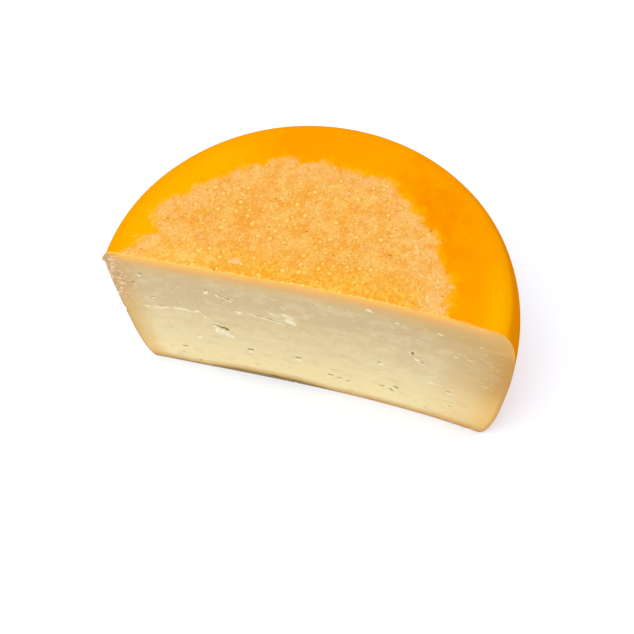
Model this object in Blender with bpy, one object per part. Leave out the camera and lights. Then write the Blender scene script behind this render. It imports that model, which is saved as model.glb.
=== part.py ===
"""Half a wheel of goat gouda, lying on its flat underside with the cut face to the front.

Metres, +Z up. X runs along the cut and Y runs from the cut into the cheese. The origin is on
the underside, at the middle of the piece's box.
"""

import math

import bmesh
import bpy
from mathutils import Matrix, Vector, noise

# The wheel
WHEEL_RADIUS = 0.081
HEIGHT = 0.085
WIDEST_HEIGHT = 0.026
FOOT_RADIUS = 0.0765
FOOT_ROUNDNESS = 1.9
TOP_RADIUS_RIGHT = 0.067
TOP_RADIUS_LEFT = 0.074
SHOULDER_ROUNDNESS_RIGHT = 3.0
SHOULDER_ROUNDNESS_LEFT = 4.5
TOP_DISH = 0.0005

# The cut, which passes a little in front of the wheel's axis
AXIS_BEHIND_CUT = 0.0075
HOLLOW_AT_FOOT = 0.0033
HOLLOW_AT_TOP = 0.0034
HOLLOW_SKEW = 0.55
CUT_TWIST = 0.0010

# Soft dents that pressing and turning left in the rind, and the seed that they are drawn from
DENT_DEPTH = 0.0003
DENT_SPACING = 0.045
DENTS_START_HEIGHT = 0.010
DENT_SEED = 1795845304

# The crumbled edge of the cut at the left, where the knife left the rind
CRUMBLE_DEPTH = 0.0007
CRUMBLE_SPACING = 0.005
CRUMBLE_WIDTH = 0.020
CRUMBLE_FOOT = 0.030

# Openings in the cut face: across, up, length, width, depth, tilt in degrees
SLITS = {
    "torn_slit": (-0.0388, 0.0413, 0.0076, 0.0016, 0.0016, -31),
    "upper_crack": (-0.0332, 0.0663, 0.0066, 0.0009, 0.0009, -20),
    "upper_hole": (-0.0406, 0.0697, 0.0017, 0.0013, 0.0012, 10),
    "long_crack": (-0.0165, 0.0556, 0.0190, 0.0009, 0.0010, -15),
    "short_slit": (-0.0276, 0.0250, 0.0036, 0.0011, 0.0012, -8),
    "right_hole": (0.0417, 0.0526, 0.0030, 0.0011, 0.0010, -65),
    "low_hole": (0.0293, 0.0386, 0.0013, 0.0013, 0.0010, 0),
    "foot_notch": (-0.0165, 0.0022, 0.0080, 0.0018, 0.0016, -14),
}

# Flakes that the knife lifted off the cut face: across, up, length, width, height, tilt in degrees
FLAKES = {
    "slit_flake": (-0.0382, 0.0362, 0.0080, 0.0050, 0.0009, -28),
    "crack_flake": (-0.0085, 0.0572, 0.0062, 0.0026, 0.0010, 38),
}

# Mesh steps
ROUND_STEPS = 60
FOOT_STEPS = 7
WALL_STEPS = 19
TOP_STEPS = 13
CORNER_ROUNDS = 4
LENS_SUBDIVISIONS = 2

# Material slots and looks: colour, roughness
RIND = 0
PASTE = 1
RIND_LOOK = ((0.96, 0.36, 0.01, 1.0), 0.30)
PASTE_LOOK = ((0.78, 0.60, 0.33, 1.0), 0.60)


def clear_scene():
    for item in list(bpy.data.objects):
        bpy.data.objects.remove(item)


def make_material(name, look):
    colour, roughness = look
    material = bpy.data.materials.new(name)
    material.use_nodes = True
    shader = material.node_tree.nodes["Principled BSDF"]
    shader.inputs["Base Color"].default_value = colour
    shader.inputs["Roughness"].default_value = roughness
    shader.inputs["Metallic"].default_value = 0.0
    return material


def mix(first, second, share):
    return first + (second - first) * share


def smooth_step(value):
    value = min(max(value, 0.0), 1.0)
    return value * value * (3 - 2 * value)


def ring_heights():
    """Heights of the wall's rings, closer together where the wall turns into the flats."""
    foot = [step / FOOT_STEPS * math.pi / 2 for step in range(FOOT_STEPS)]
    wall = [step / WALL_STEPS * math.pi / 2 for step in range(WALL_STEPS + 1)]
    heights = [WIDEST_HEIGHT * (1 - math.cos(turn)) for turn in foot]
    return heights + [mix(WIDEST_HEIGHT, HEIGHT, math.sin(turn)) for turn in wall]


def rounded(flat_radius, reach, roundness):
    """The wall's radius between its widest line (reach 0) and a flat (reach 1)."""
    fullness = max(1 - reach**roundness, 0.0) ** (1 / roundness)
    return mix(flat_radius, WHEEL_RADIUS, fullness)


def wall_radius(angle, height):
    if height < WIDEST_HEIGHT:
        return rounded(FOOT_RADIUS, 1 - height / WIDEST_HEIGHT, FOOT_ROUNDNESS)
    reach = (height - WIDEST_HEIGHT) / (HEIGHT - WIDEST_HEIGHT)
    right = rounded(TOP_RADIUS_RIGHT, reach, SHOULDER_ROUNDNESS_RIGHT)
    left = rounded(TOP_RADIUS_LEFT, reach, SHOULDER_ROUNDNESS_LEFT)
    return mix(right, left, (1 - math.cos(angle)) / 2)


def cut_depth(across, height):
    """How far back the cut face lies at a place across and up it. It is hollower to the right."""
    share_up = height / HEIGHT
    share_across = across / WHEEL_RADIUS
    hollow = mix(HOLLOW_AT_FOOT, HOLLOW_AT_TOP, share_up) * (1 + HOLLOW_SKEW * share_across)
    return hollow * (1 - share_across**2) + CUT_TWIST * share_up * share_across


def corner(height, side):
    """(across, angle) where the wall meets the cut, on the side +1 (right) or -1 (left)."""
    radius = WHEEL_RADIUS
    back = 0.0
    for _ in range(CORNER_ROUNDS):
        turn = math.asin((back - AXIS_BEHIND_CUT) / radius)
        angle = turn if side > 0 else math.pi - turn
        radius = wall_radius(angle, height)
        across = radius * math.cos(angle)
        back = cut_depth(across, height)
    return across, angle


def wall_line(height):
    """Places round the back of the wheel, from the right end of the cut to the left end."""
    start = corner(height, 1)[1]
    end = corner(height, -1)[1]
    places = []
    for step in range(ROUND_STEPS + 1):
        angle = mix(start, end, step / ROUND_STEPS)
        radius = wall_radius(angle, height)
        back = AXIS_BEHIND_CUT + radius * math.sin(angle)
        places.append(Vector((radius * math.cos(angle), back, height)))
    return places


def crumbled(place):
    """The place moved by the rough relief that the cut has near its left edge."""
    from_edge = (place.x + WHEEL_RADIUS) / CRUMBLE_WIDTH
    strength = (1 - smooth_step(from_edge)) * smooth_step(place.z / CRUMBLE_FOOT - 1)
    return place + Vector((0, CRUMBLE_DEPTH * strength * noise.noise(place / CRUMBLE_SPACING), 0))


def cut_line(height):
    """Places along the cut face at one height, from its left end to its right end."""
    left = corner(height, -1)[0]
    right = corner(height, 1)[0]
    places = []
    for step in range(ROUND_STEPS + 1):
        across = mix(left, right, step / ROUND_STEPS)
        places.append(crumbled(Vector((across, cut_depth(across, height), height))))
    return places


def settled(place):
    """The place as the soft dents and the hollow of the top leave it. The foot stays flat."""
    strength = DENT_DEPTH * smooth_step(place.z / DENTS_START_HEIGHT)
    point = place + strength * noise.noise_vector(place / DENT_SPACING)
    from_axis = math.hypot(point.x, point.y - AXIS_BEHIND_CUT)
    dish = TOP_DISH * max(1 - (from_axis / TOP_RADIUS_RIGHT) ** 2, 0.0)
    point.z *= 1 - dish / HEIGHT
    return point


class Surface:
    """A mesh in the making, whose points are shared where rows of them meet."""

    def __init__(self):
        self.mesh = bmesh.new()

    def row(self, places):
        return [self.mesh.verts.new(settled(place)) for place in places]

    def strip(self, lower, upper, material):
        """Fills between two rows of equal length. Where they share a point, a triangle does."""
        for here in range(len(lower) - 1):
            there = here + 1
            corners = [lower[here], lower[there], upper[there], upper[here]]
            face = self.mesh.faces.new(dict.fromkeys(corners))
            face.material_index = material
            face.smooth = True


def add_wall_and_cut(surface):
    """Rings from the foot to the top. Gives back the lowest and the highest, as (wall, cut)."""
    rings = []
    for height in ring_heights():
        cut_places = cut_line(height)
        wall_places = [cut_places[-1], *wall_line(height)[1:-1], cut_places[0]]
        wall = surface.row(wall_places)
        cut = [wall[-1], *surface.row(cut_places[1:-1]), wall[0]]
        rings.append((wall, cut))
    for lower, upper in zip(rings, rings[1:]):
        surface.strip(lower[0], upper[0], RIND)
        surface.strip(lower[1], upper[1], PASTE)
    return rings[0], rings[-1]


def add_top(surface, ring):
    """Rows over the top, from the cut edge to the back edge, which meet at both corners."""
    wall, cut = ring
    front = cut_line(HEIGHT)
    back = wall_line(HEIGHT)[::-1]
    lower = cut
    for step in range(1, TOP_STEPS):
        share = step / TOP_STEPS
        places = [near.lerp(far, share) for near, far in zip(front, back)]
        upper = [cut[0], *surface.row(places[1:-1]), cut[-1]]
        surface.strip(lower, upper, RIND)
        lower = upper
    surface.strip(lower, wall[::-1], RIND)


def add_foot(surface, ring):
    wall, cut = ring
    surface.mesh.faces.new([*wall, *cut[1:-1]])


def half_wheel_mesh():
    noise.seed_set(DENT_SEED)
    surface = Surface()
    lowest, highest = add_wall_and_cut(surface)
    add_top(surface, highest)
    add_foot(surface, lowest)
    bmesh.ops.recalc_face_normals(surface.mesh, faces=surface.mesh.faces)
    mesh = bpy.data.meshes.new("goat_gouda_half")
    surface.mesh.to_mesh(mesh)
    surface.mesh.free()
    return mesh


def middle_of_box(mesh):
    """The middle of the mesh's box in X and Y, at the height of the foot."""
    lowest = Vector([min(vertex.co[axis] for vertex in mesh.vertices) for axis in range(3)])
    highest = Vector([max(vertex.co[axis] for vertex in mesh.vertices) for axis in range(3)])
    middle = (lowest + highest) / 2
    return Vector((middle.x, middle.y, lowest.z))


def add_lens(name, sizes, collection, material, origin):
    """A flattened ball that lies in the cut face: a cutter for a slit, or a lifted flake."""
    across, up, length, width, depth, tilt = sizes
    ball = bmesh.new()
    bmesh.ops.create_icosphere(ball, subdivisions=LENS_SUBDIVISIONS, radius=1.0)
    bmesh.ops.scale(ball, vec=(length / 2, depth, width / 2), verts=ball.verts)
    turn = Matrix.Rotation(-math.radians(tilt), 3, "Y")
    bmesh.ops.rotate(ball, matrix=turn, verts=ball.verts)
    mesh = bpy.data.meshes.new(name)
    ball.to_mesh(mesh)
    ball.free()
    mesh.materials.append(material)
    lens = bpy.data.objects.new(name, mesh)
    lens.location = Vector((across, cut_depth(across, up), up)) - origin
    lens.hide_render = True
    lens.display_type = "WIRE"
    collection.objects.link(lens)


def add_boolean(cheese, operation, collection):
    boolean = cheese.modifiers.new(collection.name, "BOOLEAN")
    boolean.operation = operation
    boolean.operand_type = "COLLECTION"
    boolean.collection = collection
    boolean.solver = "EXACT"


def add_group(cheese, name, shapes, operation, material, origin):
    collection = bpy.data.collections.new(name)
    bpy.context.scene.collection.children.link(collection)
    for shape, sizes in shapes.items():
        add_lens(shape, sizes, collection, material, origin)
    add_boolean(cheese, operation, collection)


def main():
    clear_scene()
    rind = make_material("orange_coating", RIND_LOOK)
    paste = make_material("goat_cheese_paste", PASTE_LOOK)
    mesh = half_wheel_mesh()
    origin = middle_of_box(mesh)
    mesh.transform(Matrix.Translation(-origin))
    mesh.materials.append(rind)
    mesh.materials.append(paste)
    cheese = bpy.data.objects.new("goat_gouda_half", mesh)
    bpy.context.scene.collection.objects.link(cheese)
    add_group(cheese, "flakes", FLAKES, "UNION", paste, origin)
    add_group(cheese, "slits", SLITS, "DIFFERENCE", paste, origin)


main()
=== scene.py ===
"""Looks of the half wheel of goat gouda: its coated rind, its cut face, the light and the view.

Metres, +Z up. The shape is worked out in the wheel's own coordinates, where X runs along the
cut, the cut's corners lie near Y = 0 and the foot is at Z = 0, and is then set into the frame.
"""

import math

import bpy
import numpy as np
from mathutils import Matrix, Vector, geometry, noise


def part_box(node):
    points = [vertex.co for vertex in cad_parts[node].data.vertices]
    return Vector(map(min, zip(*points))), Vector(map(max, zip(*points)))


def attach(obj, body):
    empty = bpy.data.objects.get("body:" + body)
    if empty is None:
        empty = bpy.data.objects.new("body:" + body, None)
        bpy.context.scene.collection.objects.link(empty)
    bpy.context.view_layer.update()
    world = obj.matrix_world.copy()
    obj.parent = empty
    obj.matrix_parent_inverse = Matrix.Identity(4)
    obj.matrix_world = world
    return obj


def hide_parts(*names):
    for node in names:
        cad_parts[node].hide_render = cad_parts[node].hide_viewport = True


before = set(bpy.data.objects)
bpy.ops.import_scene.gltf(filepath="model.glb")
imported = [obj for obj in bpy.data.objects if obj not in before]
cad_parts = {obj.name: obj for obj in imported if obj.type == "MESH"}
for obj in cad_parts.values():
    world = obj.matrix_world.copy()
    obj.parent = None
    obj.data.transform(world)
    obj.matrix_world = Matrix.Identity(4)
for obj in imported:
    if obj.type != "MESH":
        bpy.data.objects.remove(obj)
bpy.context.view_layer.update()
NODE = "goat_gouda_half"

# The wheel, as in the solid
WHEEL_RADIUS = 0.081
HEIGHT = 0.085
WIDEST_HEIGHT = 0.026
FOOT_RADIUS = 0.0765
FOOT_ROUNDNESS = 1.9
TOP_RADIUS_RIGHT = 0.067
TOP_RADIUS_LEFT = 0.074
SHOULDER_ROUNDNESS_RIGHT = 3.0
SHOULDER_ROUNDNESS_LEFT = 4.5
TOP_DISH = 0.0005
AXIS_BEHIND_CUT = 0.0075
HOLLOW_AT_FOOT = 0.0033
HOLLOW_AT_TOP = 0.0034
HOLLOW_SKEW = 0.55
CUT_TWIST = 0.0010
DENT_DEPTH = 0.0003
DENT_SPACING = 0.045
DENTS_START_HEIGHT = 0.010
DENT_SEED = 1795845304

# Openings in the cut face, as in the solid: across, up, length, width, depth, tilt in degrees
SLITS = (
    (-0.0388, 0.0413, 0.0076, 0.0016, 0.0016, -31),
    (-0.0332, 0.0663, 0.0066, 0.0009, 0.0009, -20),
    (-0.0406, 0.0697, 0.0017, 0.0013, 0.0012, 10),
    (-0.0165, 0.0556, 0.0190, 0.0009, 0.0010, -15),
    (-0.0276, 0.0250, 0.0036, 0.0011, 0.0012, -8),
    (0.0417, 0.0526, 0.0030, 0.0011, 0.0010, -65),
    (0.0293, 0.0386, 0.0013, 0.0013, 0.0010, 0),
    (-0.0165, 0.0022, 0.0080, 0.0018, 0.0016, -14),
)

# Smaller nicks in the cut face: across, up, length, width, depth, tilt in degrees
NICKS = (
    (-0.059, 0.016, 0.0040, 0.0019, 0.0008, -5),
    (-0.061, 0.009, 0.0022, 0.0012, 0.0005, 0),
    (-0.006, 0.026, 0.0042, 0.0019, 0.0008, -12),
    (0.008, 0.016, 0.0036, 0.0019, 0.0009, -24),
    (0.012, 0.015, 0.0028, 0.0017, 0.0008, -14),
    (0.016, 0.014, 0.0018, 0.0018, 0.0010, 0),
    (0.037, 0.019, 0.0042, 0.0018, 0.0008, -20),
    (0.031, 0.017, 0.0028, 0.0016, 0.0006, -8),
    (-0.065, 0.057, 0.0012, 0.0013, 0.0009, 0),
    (-0.071, 0.066, 0.0016, 0.0014, 0.0009, 20),
    (-0.067, 0.073, 0.0018, 0.0014, 0.0009, -20),
    (-0.053, 0.004, 0.0012, 0.0013, 0.0008, 0),
    (0.061, 0.015, 0.0026, 0.0017, 0.0007, -35),
    (-0.050, 0.029, 0.0036, 0.0016, 0.0006, -12),
    (-0.009, 0.001, 0.0030, 0.0020, 0.0014, -10),
    (-0.0405, 0.0422, 0.0042, 0.0015, 0.0012, -14),
    (-0.0364, 0.0401, 0.0040, 0.0018, 0.0014, -42),
    (0.0354, 0.0154, 0.0024, 0.0017, 0.0009, -30),
    (0.0590, 0.0280, 0.0026, 0.0016, 0.0007, -20),
    (0.046, 0.047, 0.0034, 0.0011, 0.0006, -28),
)

# Flakes that the knife lifted: across, up, length, width, height, tilt in degrees
FLAKES = (
    (-0.0382, 0.0372, 0.0088, 0.0056, 0.0011, -26),
    (-0.0354, 0.0350, 0.0050, 0.0042, 0.0009, -20),
    (-0.0084, 0.0606, 0.0062, 0.0042, 0.00032, -26),
    (-0.0076, 0.0568, 0.0066, 0.0048, 0.00035, -30),
    (-0.0142, 0.0604, 0.0064, 0.0018, 0.00045, -32),
    (-0.0095, 0.0658, 0.0050, 0.0011, 0.0003, -50),
    (-0.0333, 0.0657, 0.0064, 0.0011, 0.0006, -32),
    (-0.0360, 0.0676, 0.0026, 0.0020, 0.0009, -20),
    (-0.0315, 0.0672, 0.0050, 0.0010, 0.0004, -32),
    (-0.0408, 0.0678, 0.0028, 0.0018, 0.0007, -8),
    (-0.0284, 0.0571, 0.0034, 0.0028, 0.0010, 0),
    (-0.0272, 0.0226, 0.0044, 0.0020, 0.0005, -20),
    (0.0240, 0.0780, 0.0040, 0.0017, 0.0007, -4),
    (0.0345, 0.0738, 0.0024, 0.0018, 0.0007, 0),
    (0.0505, 0.0733, 0.0034, 0.0014, 0.0004, -4),
    (0.0440, 0.0490, 0.0044, 0.0016, 0.0008, -38),
    (0.0520, 0.0321, 0.0050, 0.0016, 0.0005, -4),
    (0.0405, 0.0180, 0.0050, 0.0012, 0.0004, 20),
    (0.0607, 0.0270, 0.0030, 0.0014, 0.0004, -4),
    (0.0660, 0.0718, 0.0022, 0.0014, 0.00032, -30),
    (0.0685, 0.0680, 0.0026, 0.0014, 0.00032, -30),
    (0.0600, 0.0627, 0.0052, 0.0010, 0.00038, -24),
    (0.0635, 0.0603, 0.0044, 0.0010, 0.00036, -14),
    (0.0585, 0.0600, 0.0034, 0.0011, 0.00038, 34),
    (0.0690, 0.0630, 0.0080, 0.0009, 0.0003, -23),
    (0.0720, 0.0432, 0.0028, 0.0014, 0.0004, -8),
    (0.0302, 0.0372, 0.0030, 0.0012, 0.0004, 28),
    (-0.0036, 0.0527, 0.0056, 0.0010, 0.0003, 6),
    (-0.0004, 0.0552, 0.0050, 0.0010, 0.0003, 50),
    (0.0640, 0.0012, 0.0028, 0.0018, 0.0008, 0),
    (0.0690, 0.0010, 0.0020, 0.0016, 0.0008, 0),
    (0.0735, 0.0016, 0.0030, 0.0018, 0.0009, 10),
)

# Random small nicks and flecks, and where they get fewer towards the left
FLECK_COUNT = 300
NICK_SHARE = 0.12
FLECK_ACROSS = (-0.079, 0.078)
FLECK_UP = (0.003, 0.083)
FEW_FLECKS_BELOW = -0.050
ALL_FLECKS_FROM = 0.030
FLECK_LENGTHS = (0.0009, 0.0036)
FLECK_WIDTHS = (0.0008, 0.0014)
FLECK_DEPTHS = (0.00005, 0.00022)
FLECK_TILTS = (-28, 4)

# How ragged the marks are, and how bright or dark a mark of some depth or height is painted: bright
# as torn paste with a painted highlight on the lips, dark as painted shade in deep parts
WOBBLE = 0.0006
WOBBLE_SPACING_ACROSS = 0.0021
WOBBLE_SPACING_UP = 0.0017
LIP_HIGHLIGHT = 1.3
FULL_LIP_DEPTH = 0.0006
FULL_TEAR_HEIGHT = 0.0005
SHADED_DEPTH = 0.0004
FLAKE_GRAIN = 0.6
FLAKE_GRAIN_SPACING = 0.0012
CUT_EDGE_FADE = 0.0012

# The ledge where the knife changed its stroke, from left to right: across, up
LEDGE = (
    (-0.0680, 0.0490),
    (-0.0640, 0.0495),
    (-0.0570, 0.0520),
    (-0.0457, 0.0518),
    (-0.0448, 0.0496),
    (-0.0420, 0.0485),
    (-0.0400, 0.0450),
)
LEDGE_HEIGHT = 0.00050
LEDGE_FADE = 0.0070
LEDGE_WAVES = 0.0014
LEDGE_WAVE_SPACING = 0.0032
LEDGE_EDGE = 0.0006
LEDGE_LEFT_END = 0.006
LEDGE_RIGHT_END = 0.002
# Brightness of the line painted along the ledge's lip, partly torn paste and partly a painted
# highlight
LEDGE_LIP_HIGHLIGHT = 0.84
LEDGE_BREAK_SPACING = 0.0026
LEDGE_LIP_BELOW = 0.0004
LEDGE_LIP_WIDTH = 0.0005

# The crumbled edge of the cut at the left
CRUMBLE_DEPTH = 0.00050
CRUMBLE_WIDTH = 0.0130
CRUMBLE_FOOT = 0.0400
CRUMBLE_RISE = 0.0260
CRUMBLE_BLUR = 0.006
CRUMBLE_SPACING = 0.0024
FINE_CRUMBLE_SPACING = 0.0013

# Crumbs that the knife left along the top edge of the cut
EDGE_CRUMB = 0.00022
EDGE_CRUMB_SPACING = 0.0011
EDGE_CRUMB_FILL = 0.2

# Edge of the worn patch on the top: angle about the wheel's axis in degrees, radius in mm
WORN_EDGE = (
    (-10, 51), (2, 49), (10, 52), (18, 49), (26, 47.5), (35, 50), (43, 48.5), (60, 51), (70, 55),
    (80, 52.5), (93, 52.5), (99, 55), (109, 54.5), (112, 58), (123, 57.5), (145, 60.5), (157, 63.5),
    (163, 68), (168, 68), (172, 65), (175, 61), (178, 67), (182, 67), (185, 71), (187, 75), (200, 80),
)
OFF_THE_TOP = -30.0

# Spots on the top: across, back from the cut's corners, radius
DARK_SPECKS = (
    (0.0386, 0.0393, 0.0008),
    (0.0436, 0.0362, 0.0006),
    (0.0402, 0.0349, 0.0004),
    (-0.0070, 0.0274, 0.0006),
    (-0.0071, 0.0132, 0.0006),
    (-0.0352, 0.0026, 0.0008),
    (0.0224, 0.0405, 0.0006),
    (0.0258, 0.0247, 0.0006),
    (0.0484, 0.0121, 0.0006),
    (0.0057, 0.0195, 0.0006),
)

# A pale scar on the top, a triangle: across, back of the middle of its base, half width, height
SCAR = (-0.0288, 0.0066, 0.0036, 0.0048)

# The chipped upper left corner of the cut: a spur, and a notch further down: up, reach, size
CORNER_SPUR = (0.0800, 0.0014, 0.0018)
EDGE_NOTCH = (0.0425, 0.0016, 0.0007)
CHIP_ACROSS = 0.0012
CHIP_BACK = 0.0020

# Mesh steps, closer together over the torn part of the cut: lowest, highest and number of the
# rows added there, and its left and right ends
ROUND_STEPS = 80
CUT_STEPS = 330
FOOT_STEPS = 36
WALL_STEPS = 84
FINE_HEIGHTS = (0.030, 0.071, 95)
FINE_ACROSS = (-0.047, 0.002)
FINE_MARGIN = 0.006
FINE_DENSITY = 1.6
SPACING_SAMPLES = 2000
TOP_SPACING = 0.0013
TOP_EDGE_GAP = 0.0007
CORNER_ROUNDS = 4

# The camera, in the wheel's coordinates
CAMERA_DISTANCE = 0.31994
CAMERA_AZIMUTH = 18.348
CAMERA_ELEVATION = 59.898
CAMERA_ROLL = -3.265
CAMERA_TARGET = (-0.00066, 0.01563, 0.04265)
FOCAL_PIXELS = 766.2
PICTURE_PIXELS = 634
SENSOR_MM = 36.0

# Paint for a screen colour, as a share of it, where the light falls on the top and on the cut
COATING_SHADE = 0.745
PASTE_SHADE = 0.772

# Layers of patches: size in mm, detail, noise where they start and are full, strength, screen colour
COAT_LAYERS = (
    (2.2, 4, 0.50, 0.75, 0.45, (255, 174, 0)),
    (1.5, 3, 0.55, 0.75, 0.40, (250, 146, 0)),
)
SKIN_LAYERS = (
    (3.6, 4, 0.49, 0.63, 0.75, (249, 163, 56)),
    (5.2, 3, 0.53, 0.68, 0.50, (252, 177, 104)),
    (1.5, 4, 0.50, 0.65, 0.65, (255, 213, 124)),
    (1.2, 3, 0.46, 0.33, 0.60, (238, 154, 50)),
    (0.75, 2, 0.54, 0.68, 0.45, (255, 218, 132)),
    (0.8, 2, 0.45, 0.31, 0.45, (232, 146, 44)),
)

# Paint over parts of a pattern: value where they start and are full, strength, screen colour.
# The painted shade in the holes goes by their depth in mm.
STREAK_MARKS = (
    (0.62, 0.78, 0.45, (252, 238, 202)),
    (0.38, 0.24, 0.16, (198, 170, 122)),
)
GRAIN_MARKS = (
    (0.56, 0.70, 0.36, (252, 236, 196)),
    (0.44, 0.30, 0.22, (196, 166, 116)),
)
MOTTLE_MARKS = (
    (0.52, 0.36, 0.25, (244, 226, 180)),
    (0.52, 0.72, 0.35, (206, 180, 132)),
)
# Painted shade in the holes, darker the deeper they are
HOLE_SHADE = (
    (0.12, 0.45, 0.60, (164, 138, 80)),
    (0.35, 0.80, 0.80, (106, 88, 44)),
)

# The floor and the light
FLOOR_REACH = 3.0
FLOOR_COLOUR = (0.85, 0.90, 0.98, 1)
ROOM_BRIGHTNESS = 1.15
KEY_PLACE = (-0.35, -0.50, 0.95)
KEY_SIZE = 0.9
KEY_POWER = 3.6

MM = 1000.0
rng = np.random.default_rng(7)


def linear(red, green, blue):
    """A screen colour, each part from 0 to 255, as the shaders take it."""
    shares = np.array([red, green, blue]) / 255
    shares = np.where(shares <= 0.04045, shares / 12.92, ((shares + 0.055) / 1.055) ** 2.4)
    return (*shares.tolist(), 1.0)


def mix(first, second, share):
    return first + (second - first) * share


def smooth_step(value):
    value = np.clip(value, 0, 1)
    return value * value * (3 - 2 * value)


def ramp(value, start, end):
    """0 up to start, 1 from end, smooth between. The start may be the larger."""
    return smooth_step((value - start) / (end - start))


def bell(value, middle, width):
    return np.exp(-(((value - middle) / width) ** 2))


def noise_at(places, spacing, shift=0.0):
    """Smooth noise from about -1 to 1 at each place."""
    return np.array([noise.noise(place) for place in (places / spacing + shift).tolist()])


# Shape of the wheel


def ring_heights():
    foot = np.arange(FOOT_STEPS) / FOOT_STEPS * math.pi / 2
    wall = np.arange(WALL_STEPS + 1) / WALL_STEPS * math.pi / 2
    lower = WIDEST_HEIGHT * (1 - np.cos(foot))
    upper = mix(WIDEST_HEIGHT, HEIGHT, np.sin(wall))
    fine = np.linspace(*FINE_HEIGHTS)
    return np.unique(np.concatenate([lower, upper, fine]))


def across_shares():
    """Shares of the way from left to right, closer together over the torn part of the cut."""
    places = np.linspace(-WHEEL_RADIUS, WHEEL_RADIUS, SPACING_SAMPLES)
    start, end = FINE_ACROSS
    fine = ramp(places, start, start + FINE_MARGIN) * ramp(places, end, end - FINE_MARGIN)
    reached = np.cumsum(1 + (FINE_DENSITY - 1) * fine)
    reached = (reached - reached[0]) / (reached[-1] - reached[0])
    return np.interp(np.linspace(0, 1, CUT_STEPS + 1), reached, np.linspace(0, 1, len(places)))


def rounded(flat_radius, reach, roundness):
    fullness = np.clip(1 - np.clip(reach, 0, 1) ** roundness, 0, 1) ** (1 / roundness)
    return mix(flat_radius, WHEEL_RADIUS, fullness)


def wall_radius(angle, height):
    foot = rounded(FOOT_RADIUS, 1 - height / WIDEST_HEIGHT, FOOT_ROUNDNESS)
    reach = (height - WIDEST_HEIGHT) / (HEIGHT - WIDEST_HEIGHT)
    right = rounded(TOP_RADIUS_RIGHT, reach, SHOULDER_ROUNDNESS_RIGHT)
    left = rounded(TOP_RADIUS_LEFT, reach, SHOULDER_ROUNDNESS_LEFT)
    wall = mix(right, left, (1 - np.cos(angle)) / 2)
    return np.where(height < WIDEST_HEIGHT, foot, wall)


def cut_depth(across, height):
    share_up = height / HEIGHT
    share_across = across / WHEEL_RADIUS
    hollow = mix(HOLLOW_AT_FOOT, HOLLOW_AT_TOP, share_up) * (1 + HOLLOW_SKEW * share_across)
    return hollow * (1 - share_across**2) + CUT_TWIST * share_up * share_across


def corner(height, side):
    """(across, angle) where the wall meets the cut, on the side +1 (right) or -1 (left)."""
    radius = WHEEL_RADIUS
    back = np.zeros_like(height)
    for _ in range(CORNER_ROUNDS):
        turn = np.arcsin((back - AXIS_BEHIND_CUT) / radius)
        angle = turn if side > 0 else math.pi - turn
        radius = wall_radius(angle, height)
        across = radius * np.cos(angle)
        back = cut_depth(across, height)
    return across, angle


def settled(places):
    """The places as the soft dents and the hollow of the top leave them."""
    noise.seed_set(DENT_SEED)
    strength = DENT_DEPTH * smooth_step(places[:, 2] / DENTS_START_HEIGHT)
    dents = np.array([noise.noise_vector(place) for place in (places / DENT_SPACING).tolist()])
    points = places + strength[:, None] * dents
    from_axis = np.hypot(points[:, 0], points[:, 1] - AXIS_BEHIND_CUT)
    dish = TOP_DISH * np.clip(1 - (from_axis / TOP_RADIUS_RIGHT) ** 2, 0, None)
    points[:, 2] *= 1 - dish / HEIGHT
    return points


# Relief of the cut face. Depths are into the cheese.


def in_shape(across, up, shape):
    """Places in a shape's own axes, as shares of its half length and half width."""
    turn = math.radians(shape[5])
    over_x, over_z = across - shape[0], up - shape[1]
    along = over_x * math.cos(turn) + over_z * math.sin(turn)
    over = over_z * math.cos(turn) - over_x * math.sin(turn)
    return along / (shape[2] / 2), over / (shape[3] / 2)


def nick(across, up, shape):
    """Depth of a nick with a steep upper edge that runs out gently, and the lip below, painted bright
    as torn paste and a painted highlight.
    """
    along, over = in_shape(across, up, shape)
    body = np.sqrt(np.clip(1 - along**2, 0, 1))
    upper = smooth_step((body - over) / 0.6)
    lower = smooth_step((over + 1.6 * body) / 1.6)
    lip = body * bell(over, -1.5 * body, 0.9)
    return shape[4] * body * upper * lower, lip


def flake(across, up, shape):
    """Height of a tongue that is free along its upper edge, and the torn area it covers."""
    along, over = in_shape(across, up, shape)
    body = np.sqrt(np.clip(1 - along**2, 0, 1))
    upper = smooth_step((body - over) / 0.5)
    lower = smooth_step((over + body) / 1.4)
    area = smooth_step((1.15 - np.hypot(along, over)) / 0.5)
    return shape[4] * body * upper * lower, area


def random_shapes(count):
    """Small shapes spread over the cut, fewer towards the left."""
    shapes = []
    while len(shapes) < count:
        across = rng.uniform(*FLECK_ACROSS)
        up = rng.uniform(*FLECK_UP)
        keep = mix(0.5, 1.0, ramp(across, FEW_FLECKS_BELOW, ALL_FLECKS_FROM))
        if rng.uniform() > keep:
            continue
        size = rng.uniform() ** 2
        shapes.append((
            across,
            up,
            mix(*FLECK_LENGTHS, size),
            mix(*FLECK_WIDTHS, rng.uniform()),
            mix(*FLECK_DEPTHS, rng.uniform()),
            rng.uniform(*FLECK_TILTS),
        ))
    return shapes


def crumble_share(across, up, left_edge, ragged):
    """How crumbled the cut is, from 1 at the upper left edge to 0."""
    blur = CRUMBLE_BLUR * noise_at(ragged, spacing=CRUMBLE_BLUR, shift=7.0)
    inward = 1 - smooth_step((across - left_edge + blur) / CRUMBLE_WIDTH)
    return inward * smooth_step((up + blur - CRUMBLE_FOOT) / CRUMBLE_RISE)


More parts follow.
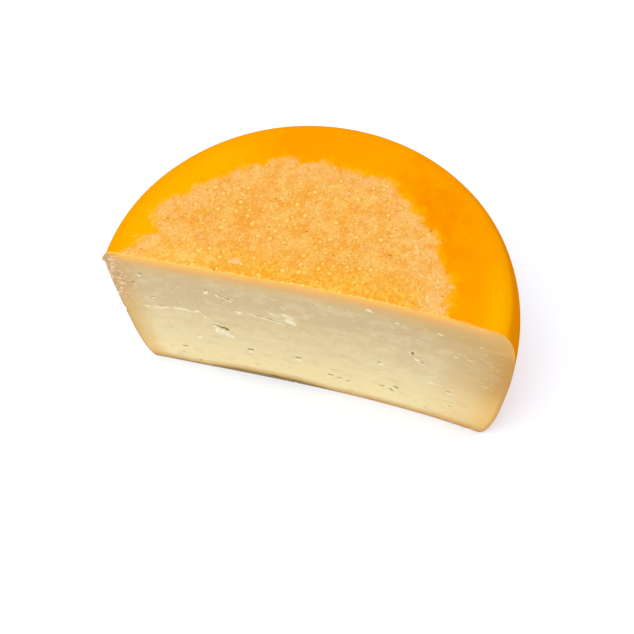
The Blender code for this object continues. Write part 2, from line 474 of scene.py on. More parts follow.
def marks(across, up, ragged):
    """Depth of the slits, nicks, flakes and flecks, and how torn and bright they are: torn paste on
    the flakes, torn paste with a painted highlight on the lips of the nicks.
    """
    depth = np.zeros(len(across))
    raised = np.zeros(len(across))
    torn = np.zeros(len(across))
    shapes = random_shapes(FLECK_COUNT)
    nicks = shapes[: int(FLECK_COUNT * NICK_SHARE)]
    flecks = shapes[len(nicks) :]
    across = across + WOBBLE * noise_at(ragged, WOBBLE_SPACING_ACROSS)
    up = up + WOBBLE * noise_at(ragged, WOBBLE_SPACING_UP, shift=9.0)
    for shape in (*SLITS, *NICKS, *nicks):
        deep, lip = nick(across, up, shape)
        depth = np.maximum(depth, deep)
        # Lips of the nicks: partly torn paste, partly a painted highlight where the lower slope faces
        # the light
        torn = np.maximum(torn, LIP_HIGHLIGHT * lip * min(shape[4] / FULL_LIP_DEPTH, 1.0))
    for shape in (*FLAKES, *flecks):
        high, area = flake(across, up, shape)
        raised = np.maximum(raised, high)
        torn = np.maximum(torn, area * min(shape[4] / FULL_TEAR_HEIGHT, 1.0))
    torn *= 1 - smooth_step(depth / SHADED_DEPTH)
    grain = FLAKE_GRAIN * noise_at(ragged, FLAKE_GRAIN_SPACING, shift=5.0)
    return depth - raised * (1 + grain), torn


def ledge_fade(distance):
    return np.exp(-np.clip(distance, 0, None) / LEDGE_FADE)


def ledge_relief(across, up, ragged):
    """How raised the cut is below the ledge, how bright its lip is, partly as a painted highlight,
    and its painted light and shade.
    """
    ledge_across, ledge_up = np.array(LEDGE).T
    waves = noise_at(ragged * (1, 0, 0), LEDGE_WAVE_SPACING, shift=3.0)
    below = np.interp(across, ledge_across, ledge_up) + LEDGE_WAVES * waves - up
    ends = smooth_step((across - ledge_across[0]) / LEDGE_LEFT_END + 1)
    ends *= smooth_step((ledge_across[-1] - across) / LEDGE_RIGHT_END + 1)
    raised = smooth_step(below / LEDGE_EDGE) * ledge_fade(below) * ends
    broken = smooth_step(0.9 + 1.1 * noise_at(ragged, LEDGE_BREAK_SPACING, shift=6.0))
    # The ledge's lip: a bright line, partly torn paste and partly a painted highlight
    lip = LEDGE_LIP_HIGHLIGHT * ends * broken * bell(below, LEDGE_LIP_BELOW, LEDGE_LIP_WIDTH)
    above = smooth_step(-below / LEDGE_EDGE) * ledge_fade(-below) * ends
    return raised, lip, raised - 0.6 * above


def cut_relief(cut, left_edge, right_edge):
    """Depth of the relief, how crumbled the paste is, how torn it is with the painted highlight of
    the lips, and its painted light and shade at the ledge.
    """
    across, up = cut[:, 0], cut[:, 2]
    ragged = cut * (1, 0, 1)
    depth, torn = marks(across, up, ragged)
    raised, lip, ledge = ledge_relief(across, up, ragged)
    crumble = crumble_share(across, up, left_edge, ragged)
    rough = noise_at(ragged, CRUMBLE_SPACING, shift=2.0)
    rough += 0.8 * noise_at(ragged, FINE_CRUMBLE_SPACING, shift=4.0)
    depth -= LEDGE_HEIGHT * raised
    depth -= CRUMBLE_DEPTH * crumble * rough

    edge = np.minimum(across - left_edge, right_edge - across)
    edge = np.minimum(edge, HEIGHT - up)
    return depth * smooth_step(edge / CUT_EDGE_FADE), crumble, np.maximum(torn, lip), ledge


def chips(places, left_edge):
    """How far right the chipped left edge of the cut moves each place."""
    moved = np.zeros(len(places))
    near = bell(places[:, 0] - left_edge, 0, CHIP_ACROSS) * bell(places[:, 1], 0, CHIP_BACK)
    for (up, reach, size), direction in ((CORNER_SPUR, -1), (EDGE_NOTCH, 1)):
        moved += direction * size * near * bell(places[:, 2], up, reach)
    return moved


def nearest_gap(places, line):
    """Distance from each place on the cut to a line of points on it."""
    gaps = np.full(len(places), 1.0)
    for point in line:
        gaps = np.minimum(gaps, np.hypot(places[:, 0] - point[0], places[:, 2] - point[2]))
    return gaps


# The mesh


def quads(ids):
    corners = np.stack([ids[:-1, :-1], ids[:-1, 1:], ids[1:, 1:], ids[1:, :-1]], 2)
    return [tuple(face) for face in corners.reshape(-1, 4).tolist()]


def inner_top_places():
    """Places over the flat of the top, in even rows, clear of its outline."""
    step_up = TOP_SPACING * math.sqrt(3) / 2
    backs = np.arange(0, AXIS_BEHIND_CUT + WHEEL_RADIUS, step_up)
    acrosses = np.arange(-WHEEL_RADIUS, WHEEL_RADIUS, TOP_SPACING)
    across, back = np.meshgrid(acrosses, backs)
    across = across + TOP_SPACING / 2 * (np.arange(len(backs)) % 2)[:, None]
    across, back = across.ravel(), back.ravel()
    from_axis = np.hypot(across, back - AXIS_BEHIND_CUT)
    angle = np.arctan2(back - AXIS_BEHIND_CUT, across)
    edge = wall_radius(angle, np.full_like(angle, HEIGHT))
    inside = (from_axis < edge - TOP_EDGE_GAP) & (back > cut_depth(across, HEIGHT) + TOP_EDGE_GAP)
    places = np.stack([across, back, np.full_like(across, HEIGHT)], 1)
    return places[inside]


def fill_top(outline, inner, outline_ids, first_inner):
    """Triangles over the top, in the mesh's point numbers."""
    flat = np.concatenate([outline, inner])[:, :2] * MM
    ring = len(outline)
    edges = [(here, (here + 1) % ring) for here in range(ring)]
    made = geometry.delaunay_2d_cdt([Vector(place) for place in flat.tolist()], edges, [], 1, 1e-6)
    ids = np.concatenate([outline_ids, first_inner + np.arange(len(inner))])
    where = [ids[origins[0]] for origins in made[3]]
    return [tuple(int(where[index]) for index in face) for face in made[2]]


def wall_grid(heights, start, end):
    """Rows of places round the wall, from the cut's right corner to its left one."""
    share = np.linspace(0, 1, ROUND_STEPS + 1)
    angles = mix(start[:, None], end[:, None], share)
    levels = np.repeat(heights[:, None], ROUND_STEPS + 1, 1)
    radii = wall_radius(angles, levels)
    return np.stack([radii * np.cos(angles), AXIS_BEHIND_CUT + radii * np.sin(angles), levels], 2)


def cut_grid(heights, left, right):
    """Rows of places over the cut, from left to right."""
    across = mix(left[:, None], right[:, None], across_shares())
    levels = np.repeat(heights[:, None], CUT_STEPS + 1, 1)
    return np.stack([across, cut_depth(across, levels), levels], 2)


def foot_faces(ring, middle):
    """Triangles from the middle of the foot to its outline, facing down."""
    return [(middle, after, here) for here, after in zip(ring.tolist(), np.roll(ring, -1).tolist())]


def paste_gaps(paste, cut):
    """Distance from each place of the paste to the rind at the top, right and left, in mm."""
    return {
        "gap_top": nearest_gap(paste, cut[-1, ::2]) * MM,
        "gap_right": nearest_gap(paste, cut[:, -1]) * MM,
        "gap_left": nearest_gap(paste, cut[:, 0]) * MM,
    }


def half_wheel():
    """The half wheel as a mesh. Slot 0 is the rind, slot 1 the cut face."""
    heights = ring_heights()
    right, start = corner(heights, 1)
    left, end = corner(heights, -1)
    rows = len(heights)
    wall = wall_grid(heights, start, end)
    cut = cut_grid(heights, left, right)
    wall[:, 0] = cut[:, -1]
    wall[:, -1] = cut[:, 0]

    wall_ids = np.arange(rows * (ROUND_STEPS + 1)).reshape(rows, -1)
    inner_cut_ids = wall_ids.size + np.arange(rows * (CUT_STEPS - 1)).reshape(rows, -1)
    cut_ids = np.concatenate([wall_ids[:, -1:], inner_cut_ids, wall_ids[:, :1]], 1)
    top_ids = np.concatenate([cut_ids[-1], wall_ids[-1, 1:-1]])
    foot_ids = np.concatenate([cut_ids[0], wall_ids[0, 1:-1]])
    top_outline = np.concatenate([cut[-1], wall[-1, 1:-1]])
    top = inner_top_places()
    first_top = wall_ids.size + inner_cut_ids.size

    foot_middle = np.array([[0.0, WHEEL_RADIUS / 2, 0.0]])
    places = np.concatenate([wall.reshape(-1, 3), cut[:, 1:-1].reshape(-1, 3), top, foot_middle])
    rind = quads(wall_ids)
    rind += fill_top(top_outline, top, top_ids, first_top)
    rind += foot_faces(foot_ids, len(places) - 1)

    on_cut = np.unique(cut_ids)
    paste = places[on_cut]
    left_edge = np.interp(places[:, 2], heights, left)
    right_edge = np.interp(places[:, 2], heights, right)
    depth, crumble, torn, ledge = cut_relief(paste, left_edge[on_cut], right_edge[on_cut])
    points = settled(places)
    points[on_cut, 1] += depth
    crumbs = noise_at(places[cut_ids[-1]], EDGE_CRUMB_SPACING)
    points[cut_ids[-1], 2] += EDGE_CRUMB * np.clip(crumbs + EDGE_CRUMB_FILL, 0, None)
    points[:, 0] += chips(places, left_edge)

    paste_looks = {"relief": depth * MM, "crumble": crumble, "torn": torn, "ledge": ledge}
    looks = surface_looks(places)
    for name, values in {**paste_looks, **paste_gaps(paste, cut)}.items():
        looks[name] = spread(len(places), on_cut, values)
    mesh = written_mesh(points, rind, quads(cut_ids), looks)
    sharpen(mesh, [cut_ids[0], cut_ids[-1], cut_ids[:, 0], cut_ids[:, -1], wall_ids[0]])
    return mesh


def written_mesh(points, rind, paste, looks):
    """A smooth mesh with a slot each for rind and paste, and its looks as attributes."""
    mesh = bpy.data.meshes.new("goat_gouda")
    mesh.from_pydata(points.tolist(), [], rind + paste)
    slots = np.repeat(np.array([0, 1], np.int32), [len(rind), len(paste)])
    mesh.polygons.foreach_set("material_index", slots)
    mesh.polygons.foreach_set("use_smooth", np.ones(len(slots), bool))
    for name, values in looks.items():
        attribute = mesh.attributes.new(name, "FLOAT", "POINT")
        attribute.data.foreach_set("value", values.astype(np.float32))
    return mesh


def spread(count, where, values):
    """Values for all the mesh's points, which are 0 away from the given ones."""
    spread_out = np.zeros(count)
    spread_out[where] = values
    return spread_out


def sharpen(mesh, lines):
    """Marks the edges between neighbouring points of each line as sharp."""
    wanted = set()
    for line in lines:
        wanted.update(zip(line[:-1].tolist(), line[1:].tolist()))
    ends = np.zeros(len(mesh.edges) * 2, np.int32)
    mesh.edges.foreach_get("vertices", ends)
    pairs = ends.reshape(-1, 2).tolist()
    sharp = [(a, b) in wanted or (b, a) in wanted for a, b in pairs]
    mesh.edges.foreach_set("use_edge_sharp", sharp)


def wedge(across, back, shape):
    """Positive inside a triangle with a level base."""
    risen = (back - shape[1]) / shape[3]
    return np.minimum(1 - risen - np.abs(across - shape[0]) / shape[2], 2 * risen)


def cut_side(across, up, cut_gap):
    """Where the rind beside the cut is painted tan, on the lower wall."""
    right = (across > 0) * bell(cut_gap, 0, 4) * ramp(up * MM, 66, 56)
    left = (across < 0) * bell(cut_gap, 0, 6) * ramp(up * MM, 68, 28)
    return right + left


def surface_looks(places):
    """Where the coating is worn, where it gets its painted sheen on the shoulders, deeper orange,
    painted shade or tan, the scar and the place, in mm or shares.
    """
    across, back, up = places.T
    from_axis = np.hypot(across, back - AXIS_BEHIND_CUT)
    angle = np.arctan2(back - AXIS_BEHIND_CUT, across)
    angle = np.where(angle < -math.pi / 2, angle + 2 * math.pi, angle)
    degrees = np.degrees(angle)
    top_edge = wall_radius(angle, np.full_like(angle, HEIGHT))
    rim = (top_edge - from_axis) * MM
    worn = np.interp(degrees, *np.array(WORN_EDGE).T) - from_axis * MM
    on_top = ramp((up - HEIGHT) * MM, -3, -1)
    left = ramp(degrees, 112, 140) * ramp(degrees, 194, 180)
    right = ramp(degrees, 30, 4)
    # Painted sheen: yellow on the shoulders
    shoulder_sheen = 0.8 * left * bell(rim, 6, 9) + 0.7 * right * bell(rim, -1.5, 5)
    cut_gap = (back - cut_depth(across, up)) * MM
    return {
        "worn": np.where(on_top > 0, worn, OFF_THE_TOP),
        "shoulder_sheen": shoulder_sheen * on_top,
        "deep": bell(degrees, 48, 34) * ramp(rim, -12, 4),
        # Painted shade along the outer rim at the left
        "rim_shade": 0.25 * ramp(degrees, 146, 164) * bell(rim, -4.5, 2.6),
        "cut_gap": cut_gap,
        "cut_side": cut_side(across, up, cut_gap),
        # The wall below the top, which is painted darker as painted shade
        "wall": 1 - on_top,
        "scar": wedge(across, back, SCAR),
        "across": across * MM,
        "back": back * MM,
    }


# Materials


class Look:
    """One material in the making. Sizes of patterns are in millimetres."""

    def __init__(self, name, shade):
        self.shade = shade
        self.material = bpy.data.materials.new(name)
        self.material.use_nodes = True
        self.tree = self.material.node_tree
        self.shader = self.tree.nodes["Principled BSDF"]
        place = self.node("ShaderNodeTexCoord").outputs["Object"]
        scaled = self.node("ShaderNodeVectorMath", operation="SCALE")
        self.join(place, scaled.inputs["Vector"])
        scaled.inputs["Scale"].default_value = MM
        self.place = scaled.outputs["Vector"]

    def paint(self, red, green, blue):
        """The paint that looks like this screen colour under the scene's light."""
        return (*(share * self.shade for share in linear(red, green, blue)[:3]), 1.0)

    def node(self, kind, **settings):
        node = self.tree.nodes.new(kind)
        for name, value in settings.items():
            setattr(node, name, value)
        return node

    def join(self, source, target):
        if isinstance(source, bpy.types.NodeSocket):
            self.tree.links.new(source, target)
        else:
            target.default_value = source

    def math(self, operation, first, second=0.0):
        node = self.node("ShaderNodeMath", operation=operation)
        self.join(first, node.inputs[0])
        self.join(second, node.inputs[1])
        return node.outputs[0]

    def times(self, first, *others):
        for other in others:
            first = self.math("MULTIPLY", first, other)
        return first

    def plus(self, first, second):
        return self.math("ADD", first, second)

    def most(self, first, second):
        return self.math("MAXIMUM", first, second)

    def inverse(self, value):
        return self.math("SUBTRACT", 1.0, value)

    def step(self, value, start, end):
        """0 up to start, 1 from end, smooth between. The start may be the larger."""
        node = self.node("ShaderNodeMapRange", interpolation_type="SMOOTHSTEP")
        low, high = min(start, end), max(start, end)
        self.join(value, node.inputs["Value"])
        node.inputs["From Min"].default_value = low
        node.inputs["From Max"].default_value = high
        node.inputs["To Min"].default_value = 0.0 if start < end else 1.0
        node.inputs["To Max"].default_value = 1.0 if start < end else 0.0
        return node.outputs["Result"]

    def stretched(self, stretch, turn):
        """The place with its X, Y and Z stretched along axes turned by degrees about Y and Z."""
        node = self.node("ShaderNodeMapping", vector_type="TEXTURE")
        self.join(self.place, node.inputs["Vector"])
        node.inputs["Scale"].default_value = stretch
        node.inputs["Rotation"].default_value = (0, *(math.radians(angle) for angle in turn))
        return node.outputs["Vector"]

    def noise(self, size, detail=2.0, stretch=(1, 1, 1), turn=(0, 0), warp=0.0):
        node = self.node("ShaderNodeTexNoise", noise_dimensions="4D")
        self.join(self.stretched(stretch, turn), node.inputs["Vector"])
        node.inputs["W"].default_value = size * 7.7 + detail
        node.inputs["Scale"].default_value = 1 / size
        node.inputs["Detail"].default_value = detail
        node.inputs["Distortion"].default_value = warp
        return node.outputs["Fac"]

    def patches(self, size, detail, start, end):
        """Soft patches of noise, 1 where the noise is past the end."""
        return self.step(self.noise(size, detail), start, end)

    def cells(self, size, turn=(0, 0)):
        """Distance to the nearest of scattered points, and two random numbers of that point."""
        node = self.node("ShaderNodeTexVoronoi", voronoi_dimensions="2D")
        self.join(self.stretched((1, 1, 1), turn), node.inputs["Vector"])
        node.inputs["Scale"].default_value = 1 / size
        parts = self.node("ShaderNodeSeparateColor")
        self.join(node.outputs["Color"], parts.inputs["Color"])
        return node.outputs["Distance"], parts.outputs["Red"], parts.outputs["Green"]

    def seams(self, size):
        """Distance to the wavy seams between cells, as a share of the cell size."""
        node = self.node("ShaderNodeTexVoronoi", voronoi_dimensions="2D", feature="DISTANCE_TO_EDGE")
        waves = self.node("ShaderNodeTexNoise")
        self.join(self.place, waves.inputs["Vector"])
        waves.inputs["Scale"].default_value = 0.8 / size
        moved = self.node("ShaderNodeVectorMath", operation="ADD")
        self.join(self.place, moved.inputs[0])
        self.join(waves.outputs["Color"], moved.inputs[1])
        self.join(moved.outputs["Vector"], node.inputs["Vector"])
        node.inputs["Scale"].default_value = 1 / size
        return node.outputs["Distance"]

    def value(self, name):
        return self.node("ShaderNodeAttribute", attribute_name=name).outputs["Fac"]

    def blend(self, share, first, second):
        node = self.node("ShaderNodeMix", data_type="RGBA")
        self.join(share, node.inputs[0])
        self.join(first, node.inputs[6])
        self.join(second, node.inputs[7])
        return node.outputs[2]

    def cover(self, colour, share, strength, paint):
        """The colour with a screen colour over it, as strong as said where the share is 1."""
        return self.blend(self.times(share, strength), colour, self.paint(*paint))

    def layer(self, colour, size, detail, start, end, strength, paint):
        """The colour with patches of a screen colour over it."""
        return self.cover(colour, self.patches(size, detail, start, end), strength, paint)

    def bump(self, height):
        """Relief from a height in millimetres."""
        node = self.node("ShaderNodeBump")
        self.join(height, node.inputs["Height"])
        node.inputs["Distance"].default_value = 1 / MM
        self.join(node.outputs["Normal"], self.shader.inputs["Normal"])

    def up(self):
        parts = self.node("ShaderNodeSeparateXYZ")
        self.join(self.place, parts.inputs["Vector"])
        return parts.outputs["Z"]

    def across(self):
        return self.value("across")

    def back(self):
        return self.value("back")

    def spot(self, across, back, radius):
        """1 in the middle of a spot on the top and 0 from its radius outwards."""
        over_x = self.math("SUBTRACT", self.across(), across * MM)
        over_y = self.math("SUBTRACT", self.back(), back * MM)
        squares = self.plus(self.times(over_x, over_x), self.times(over_y, over_y))
        ragged = self.plus(self.math("SQRT", squares), centred(self, self.noise(0.8, 2), 0.5))
        return self.step(ragged, radius * MM, 0.4 * radius * MM)


def centred(look, noise, reach):
    """Noise as an offset of up to about half the reach either way."""
    return look.times(look.math("SUBTRACT", noise, 0.5), reach)


def marked(look, colour, pattern, paints):
    """The colour with paint over the parts of a pattern that the marks give."""
    for start, end, strength, paint in paints:
        colour = look.cover(colour, look.step(pattern, start, end), strength, paint)
    return colour


def coat_paint(look, edge):
    """Smooth orange coating, with a painted sheen of yellow on the shoulders, deeper towards the
    right back, painted shade along the left rim and on the wall, and tan beside the cut.
    """
    broad = look.patches(26, 2, 0.3, 0.7)
    coat = look.blend(broad, look.paint(253, 158, 0), look.paint(254, 164, 0))
    deep = look.times(look.value("deep"), look.patches(13, 3, 0.38, 0.62))
    coat = look.blend(deep, coat, look.paint(250, 144, 0))
    # Painted sheen: yellow on the shoulders
    coat = look.blend(look.value("shoulder_sheen"), coat, look.paint(255, 184, 0))
    rim = look.times(look.step(edge, -5.0, -1.0), look.patches(5, 2, 0.35, 0.55))
    coat = look.cover(coat, rim, 0.7, (255, 182, 0))
    # Painted shade along the outer rim at the left
    coat = look.blend(look.value("rim_shade"), coat, look.paint(250, 148, 0))
    tufts = look.times(look.step(edge, -6.0, -1.0), look.patches(1.9, 4, 0.55, 0.66))
    tufts = look.times(tufts, look.step(look.across(), -54, -60), look.step(look.back(), 28, 20))
    coat = look.cover(coat, tufts, 0.6, (255, 208, 124))
    for layer in COAT_LAYERS:
        coat = look.layer(coat, *layer)
    # Painted shade: a darker orange over the wall below the top
    coat = look.cover(coat, look.value("wall"), 0.7, (228, 132, 0))
    return look.cover(coat, look.value("cut_side"), 0.8, (208, 148, 48))


def worn_edge(look):
    """How far inside the ragged edge of the worn patch a place lies, in mm."""
    edge = look.plus(look.value("worn"), centred(look, look.noise(4.2, 4, warp=0.8), 9.5))
    return look.plus(edge, centred(look, look.noise(1.2, 3), 4.0))


def bubbles(look, spacing, reach, chance):
    """Soft light dots with a faint ring, closest together left of the middle."""
    gap, pick, size = look.cells(spacing)
    gap = look.plus(gap, centred(look, look.noise(0.9, 2), 0.10))
    share = look.math("DIVIDE", gap, look.plus(look.times(size, reach), reach))
    middle = look.times(look.step(look.across(), -60, -32), look.step(look.across(), 34, 4))
    middle = look.times(middle, look.step(look.back(), 48, 30))
    likely = look.plus(look.times(middle, 0.88), 0.12)
    dense = look.times(look.patches(11, 2, 0.36, 0.58), likely)
    chosen = look.step(look.plus(pick, look.times(dense, chance)), 0.86, 1.0)
    ball = look.times(look.step(share, 1.1, 0.3), chosen)
    ring = look.times(look.step(share, 1.9, 1.3), look.step(share, 0.7, 1.15), chosen)
    return ball, ring


def beside_cut(look, skin):
    """A richer strip of skin along the cut, paler at its left end."""
    near = look.plus(look.value("cut_gap"), centred(look, look.noise(4.0, 3), 10.0))
    strip = look.times(look.step(look.across(), -72, -60), look.step(look.across(), 50, 34))
    strip = look.times(look.step(near, 16.0, 2.0), strip)
    grain = look.patches(1.6, 3, 0.45, 0.60)
    rich = look.blend(grain, look.paint(251, 170, 26), look.paint(255, 204, 76))
    pale = look.blend(grain, look.paint(253, 186, 62), look.paint(255, 214, 112))
    rich = look.blend(look.step(look.across(), -28, -46), rich, pale)
    return look.blend(look.times(strip, 0.75), skin, rich)


def skin_border(look, skin, edge):
    """Paler skin and light tufts along the patch's edge, and orange-red spots at the left."""
    border = look.times(look.step(edge, 15.0, 1.0), look.patches(3.0, 4, 0.38, 0.58))
    skin = look.cover(skin, border, 0.6, (253, 198, 122))
    tufts = look.times(look.step(edge, 8.0, 1.0), look.patches(1.7, 4, 0.53, 0.62))
    tufts = look.times(tufts, look.patches(9, 2, 0.42, 0.60))
    skin = look.cover(skin, tufts, 0.6, (255, 220, 156))
    left = look.times(look.step(edge, 16.0, 6.0), look.step(look.across(), -38, -50))
    spots = look.times(left, look.patches(1.8, 3, 0.60, 0.68))
    return look.cover(skin, spots, 0.8, (246, 138, 28))


def pits(look):
    """Small dark pits."""
    gap, pick, _ = look.cells(3.4, turn=(0, 37))
    ragged = look.plus(gap, centred(look, look.noise(0.5, 2), 0.08))
    return look.times(look.step(ragged, 0.13, 0.04), look.step(pick, 0.60, 0.75))


def scratches(look):
    """Light scratches near the right end of the worn patch, towards the cut."""
    where = look.times(look.step(look.across(), 26, 36), look.step(look.back(), 44, 34))
    streak = look.noise(0.8, 4, stretch=(3.0, 1, 1), turn=(0, -58), warp=0.5)
    return look.times(where, look.step(streak, 0.53, 0.64), look.patches(6, 2, 0.42, 0.58))


def skin_paint(look, edge):
    """Pale mottled skin under the worn coating. Gives back its paint and its relief in mm."""
    broad = look.patches(8.5, 3, 0.40, 0.60)
    skin = look.blend(broad, look.paint(250, 174, 66), look.paint(253, 194, 98))
    for layer in SKIN_LAYERS:
        skin = look.layer(skin, *layer)
    skin = skin_border(look, beside_cut(look, skin), edge)
    seams = look.step(look.seams(1.6), 0.12, 0.0)
    skin = look.cover(skin, seams, 0.3, (236, 152, 54))
    wide, wide_ring = bubbles(look, 4.3, 0.13, 0.55)
    small, small_ring = bubbles(look, 2.2, 0.11, 0.45)
    ball = look.most(wide, look.times(small, 0.8))
    skin = look.cover(skin, look.most(wide_ring, small_ring), 0.4, (240, 156, 40))
    skin = look.cover(skin, ball, 0.75, (255, 224, 120))
    pit = pits(look)
    skin = look.cover(skin, pit, 0.65, (190, 126, 36))
    skin = look.cover(skin, scratches(look), 0.7, (255, 228, 166))
    scar = look.plus(look.value("scar"), centred(look, look.noise(2.2, 2), 0.5))
    skin = look.cover(skin, look.step(scar, 0.0, 0.35), 0.75, (254, 208, 148))

    relief = look.plus(look.times(seams, -0.04), look.times(ball, 0.08))
    relief = look.plus(relief, look.times(pit, -0.05))
    return skin, look.plus(relief, look.times(look.noise(0.9, 3), 0.16))


def coating_look():
    """A smooth orange coating, worn to a pale mottled skin in the middle of the top."""
    look = Look("orange_coating", COATING_SHADE)
    edge = worn_edge(look)
    worn = look.step(edge, -2.2, 2.4)
    skin, skin_relief = skin_paint(look, edge)
    colour = look.blend(worn, coat_paint(look, edge), skin)
    crumbs = look.plus(look.value("cut_gap"), centred(look, look.noise(1.1, 3), 3.4))
    crumb_line = look.times(look.step(crumbs, 1.0, 0.2), look.step(look.value("worn"), -14, -2))
    colour = look.cover(colour, crumb_line, 0.75, (255, 216, 116))
    for speck in DARK_SPECKS:
        colour = look.cover(colour, look.spot(*speck), 0.6, (176, 108, 30))
    look.join(colour, look.shader.inputs["Base Color"])
    look.join(look.plus(look.times(worn, 0.25), 0.34), look.shader.inputs["Roughness"])
    look.shader.inputs["Specular IOR Level"].default_value = 0.0

    relief = look.plus(look.times(skin_relief, worn), look.times(look.inverse(worn), 0.14))
    look.bump(look.plus(relief, look.times(look.noise(5.0, 2), 0.10)))
    return look.material


def paste_paint(look):
    """Creamy paste, yellower below as painted bounce light from the floor and greyer above as painted
    shade, with mottling and short knife streaks.
    """
    level = look.plus(look.up(), centred(look, look.noise(14, 3, stretch=(2.2, 1, 1)), 20.0))
    # Painted light below the ledge and painted shade above it, by moving the level
    level = look.math("SUBTRACT", level, look.times(look.value("ledge"), 13.0))
    # Lighter and yellower low on the face as painted bounce light, greyer higher up as painted shade
    colour = look.step(level, 2, 30)
    colour = look.blend(colour, look.paint(255, 233, 172), look.paint(242, 220, 166))
    colour = look.blend(look.step(level, 24, 48), colour, look.paint(226, 202, 151))
    colour = look.blend(look.step(level, 44, 70), colour, look.paint(212, 186, 138))

    streaks = look.noise(0.8, 2, stretch=(7, 7, 1), turn=(9, 0), warp=0.4)
    streaks = look.plus(streaks, centred(look, look.noise(9, 2), 0.16))
    grain = look.noise(1.1, 4, stretch=(1.8, 1.8, 1), turn=(9, 0))
    mottle = look.noise(4.5, 3, stretch=(1.5, 1.5, 1))
    colour = marked(look, colour, streaks, STREAK_MARKS)
    colour = marked(look, colour, grain, GRAIN_MARKS)
    return marked(look, colour, mottle, MOTTLE_MARKS), streaks


def right_band(look, colour, gap):
    """The wide tanned band along the right edge, browner further up."""
    low = look.step(look.up(), 52, 14)
    tan = look.blend(low, look.paint(206, 166, 98), look.paint(243, 206, 134))
    colour = look.blend(look.times(look.step(gap, 34, 5), 0.8), colour, tan)
    tan = look.blend(low, look.paint(203, 150, 68), look.paint(243, 194, 108))
    tan = look.blend(look.step(look.up(), 66, 76), tan, look.paint(222, 170, 92))
    colour = look.blend(look.times(look.step(gap, 12, 1), 0.9), colour, tan)
    mottle = look.step(look.noise(1.4, 4, stretch=(1.7, 1.7, 1)), 0.56, 0.68)
    return look.cover(colour, look.times(look.step(gap, 28, 10), mottle), 0.35, (240, 206, 140))


def left_band(look, colour, gap):
    """The golden band along the left edge, lighter at the foot."""
    low = look.step(look.up(), 30, 8)
    gold = look.blend(low, look.paint(219, 172, 84), look.paint(238, 188, 108))
    return look.blend(look.times(look.step(gap, 14, 0.5), 0.85), colour, gold)


def top_band(look, colour, gap):
    """The tanned band under the rind of the top, wider at the right, with orange dabs."""
    right = look.times(look.step(gap, 20, 4), look.step(look.across(), 16, 56))
    colour = look.cover(colour, right, 0.6, (209, 166, 94))
    colour = look.cover(colour, look.step(gap, 13, 4), 0.7, (224, 182, 114))
    colour = look.cover(colour, look.step(gap, 7, 1.5), 0.9, (243, 176, 98))
    dabs = look.times(look.step(gap, 9, 3), look.patches(2.2, 3, 0.56, 0.68))
    return look.cover(colour, dabs, 0.55, (252, 168, 88))


def cut_rind(look, colour):
    """The thin line of the rind where it is cut, at the top and the sides."""
    fine = centred(look, look.noise(1.6, 3), 1.6)
    gap = look.plus(look.value("gap_top"), fine)
    colour = look.blend(look.step(gap, 4.4, 0.8), colour, look.paint(251, 190, 92))
    high = look.step(look.up(), 66, 76)
    side = look.blend(high, look.paint(200, 148, 66), look.paint(240, 178, 76))
    gap = look.plus(look.value("gap_right"), fine)
    colour = look.blend(look.times(look.step(gap, 2.2, 0.4), 0.7), colour, side)
    gap = look.plus(look.value("gap_left"), fine)
    return look.cover(colour, look.step(gap, 1.4, 0.2), 0.7, (192, 148, 76))


def near_rind(look, colour):
    """The tanned bands of the paste along the rind, and the rind itself where it is cut."""
    soft = centred(look, look.noise(9, 3), 7.0)
    softer = look.plus(soft, centred(look, look.noise(2.4, 3), 7.0))
    colour = right_band(look, colour, look.plus(look.value("gap_right"), softer))
    colour = left_band(look, colour, look.plus(look.value("gap_left"), soft))
    colour = top_band(look, colour, look.plus(look.value("gap_top"), look.times(soft, 0.35)))
    return cut_rind(look, colour)


def crumbled_paint(look, colour):
    """The crumbled upper left corner, tan with light and dark specks."""
    crumble = look.step(look.value("crumble"), 0.0, 0.7)
    crumble = look.times(crumble, look.step(look.value("gap_top"), 1.0, 5.5))
    colour = look.cover(colour, crumble, 0.85, (214, 172, 122))
    dark = look.times(crumble, look.patches(1.2, 3, 0.47, 0.38))
    colour = look.cover(colour, dark, 0.5, (172, 126, 80))
    beside = look.step(look.value("gap_left"), 9, 2)
    specks = look.noise(1.0, 3, stretch=(1.5, 1.5, 1), turn=(14, 0))
    specks = look.step(look.plus(specks, look.times(beside, 0.03)), 0.53, 0.64)
    return look.cover(colour, look.times(crumble, specks), 0.85, (252, 224, 178))


def torn_and_lit_paint(look, colour):
    """Bright fibrous paste on the flakes, the same bright paste on the lips as torn paste and a
    painted highlight, and painted shade in the holes.
    """
    ragged = centred(look, look.noise(0.8, 3, stretch=(1.8, 1.8, 1)), 0.9)
    ragged = look.plus(look.value("torn"), ragged)
    fibres = look.step(look.noise(1.0, 3, stretch=(2.0, 2.0, 1), turn=(24, 0)), 0.40, 0.58)
    torn = look.blend(fibres, look.paint(246, 233, 198), look.paint(254, 243, 208))
    colour = look.blend(look.times(look.step(ragged, 0.35, 0.75), 0.85), colour, torn)
    # Painted shade in the holes, by their depth
    return marked(look, colour, look.value("relief"), HOLE_SHADE)


def foot_rind_and_shadow(look, colour):
    """The brown line of the rind at the foot with a tan band above it, both partly the cut rind and
    partly a painted contact shadow, thicker left of the middle.
    """
    thick = look.times(look.step(look.across(), -54, -34), look.step(look.across(), 10, -10))
    level = look.plus(look.up(), centred(look, look.noise(3, 3), 1.6))
    level = look.math("SUBTRACT", level, look.times(thick, 2.3))
    colour = look.cover(colour, look.step(level, 7.0, 1.2), 0.8, (214, 168, 92))
    right = look.step(look.across(), 4, 16)
    # The darkest line: partly the cut rind, partly a painted contact shadow
    line = look.blend(right, look.paint(142, 114, 60), look.paint(196, 134, 64))
    return look.blend(look.times(look.step(level, 2.4, 0.0), 0.9), colour, line)


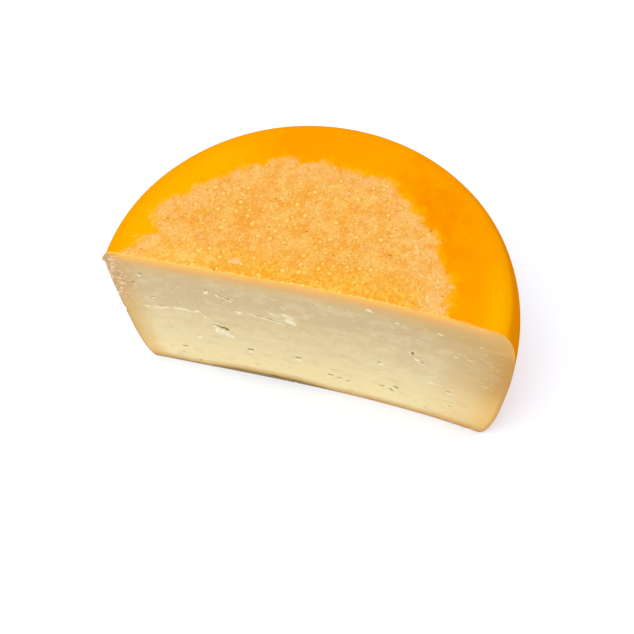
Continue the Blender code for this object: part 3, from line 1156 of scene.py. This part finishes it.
def paste_look():
    """Creamy paste, tanned near the rind, with the streaks and tears of the knife."""
    look = Look("cheese_paste", PASTE_SHADE)
    colour, streaks = paste_paint(look)
    for painted in (near_rind, crumbled_paint, torn_and_lit_paint, foot_rind_and_shadow):
        colour = painted(look, colour)
    look.join(colour, look.shader.inputs["Base Color"])
    look.shader.inputs["Roughness"].default_value = 0.55
    look.shader.inputs["Specular IOR Level"].default_value = 0.2
    look.shader.inputs["Subsurface Weight"].default_value = 0.2
    look.shader.inputs["Subsurface Radius"].default_value = (1.0, 0.6, 0.3)
    look.shader.inputs["Subsurface Scale"].default_value = 0.0012
    crumbly = look.plus(look.times(look.value("crumble"), 0.4), 0.10)
    look.bump(look.plus(look.times(streaks, 0.15), look.times(look.noise(0.9, 4), crumbly)))
    return look.material


def floor_look():
    material = bpy.data.materials.new("floor")
    material.use_nodes = True
    shader = material.node_tree.nodes["Principled BSDF"]
    shader.inputs["Base Color"].default_value = FLOOR_COLOUR
    shader.inputs["Roughness"].default_value = 0.5
    shader.inputs["Specular IOR Level"].default_value = 0.2
    return material


def add_object(name, data):
    added = bpy.data.objects.new(name, data)
    bpy.context.scene.collection.objects.link(added)
    return added


def add_cheese(origin):
    mesh = half_wheel()
    mesh.transform(Matrix.Translation(-origin))
    mesh.materials.append(coating_look())
    mesh.materials.append(paste_look())
    cheese = add_object("goat_gouda", mesh)
    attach(cheese, "root")
    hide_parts(NODE)


def add_camera(origin):
    azimuth = math.radians(CAMERA_AZIMUTH)
    elevation = math.radians(CAMERA_ELEVATION)
    back = Vector((math.sin(azimuth), -math.cos(azimuth), math.tan(elevation))).normalized()
    right = (-back).cross(Vector((0, 0, 1))).normalized()
    up = right.cross(-back)
    turn = Matrix((right, up, back)).transposed() @ Matrix.Rotation(math.radians(CAMERA_ROLL), 3, "Z")
    data = bpy.data.cameras.new("camera")
    data.sensor_width = SENSOR_MM
    data.lens = SENSOR_MM * FOCAL_PIXELS / PICTURE_PIXELS
    camera = add_object("camera", data)
    place = Vector(CAMERA_TARGET) + back * CAMERA_DISTANCE - origin
    camera.matrix_world = Matrix.Translation(place) @ turn.to_4x4()
    bpy.context.scene.camera = camera


def add_floor():
    mesh = bpy.data.meshes.new("floor")
    reach = FLOOR_REACH
    corners = [(-reach, -reach, 0), (reach, -reach, 0), (reach, reach, 0), (-reach, reach, 0)]
    mesh.from_pydata(corners, [], [(0, 1, 2, 3)])
    mesh.materials.append(floor_look())
    floor = add_object("floor", mesh)


def add_key_light():
    """A large soft lamp in front of the cheese, to its left."""
    data = bpy.data.lights.new("key", "AREA")
    data.shape = "DISK"
    data.size = KEY_SIZE
    data.energy = KEY_POWER
    light = add_object("key", data)
    light.location = KEY_PLACE
    light.rotation_euler = (-Vector(KEY_PLACE)).to_track_quat("-Z", "Y").to_euler()


def add_room():
    """Even white light from all round."""
    world = bpy.data.worlds.new("soft_room")
    world.use_nodes = True
    background = world.node_tree.nodes["Background"]
    background.inputs["Color"].default_value = (1, 1, 1, 1)
    background.inputs["Strength"].default_value = ROOM_BRIGHTNESS
    bpy.context.scene.world = world


def main():
    low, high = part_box(NODE)
    middle = (low + high) / 2
    origin = Vector((0, AXIS_BEHIND_CUT + WHEEL_RADIUS, 0)) - Vector((middle.x, high.y, low.z))
    bpy.context.scene.view_settings.view_transform = "Standard"
    add_cheese(origin)
    add_camera(origin)
    add_floor()
    add_key_light()
    add_room()


main()
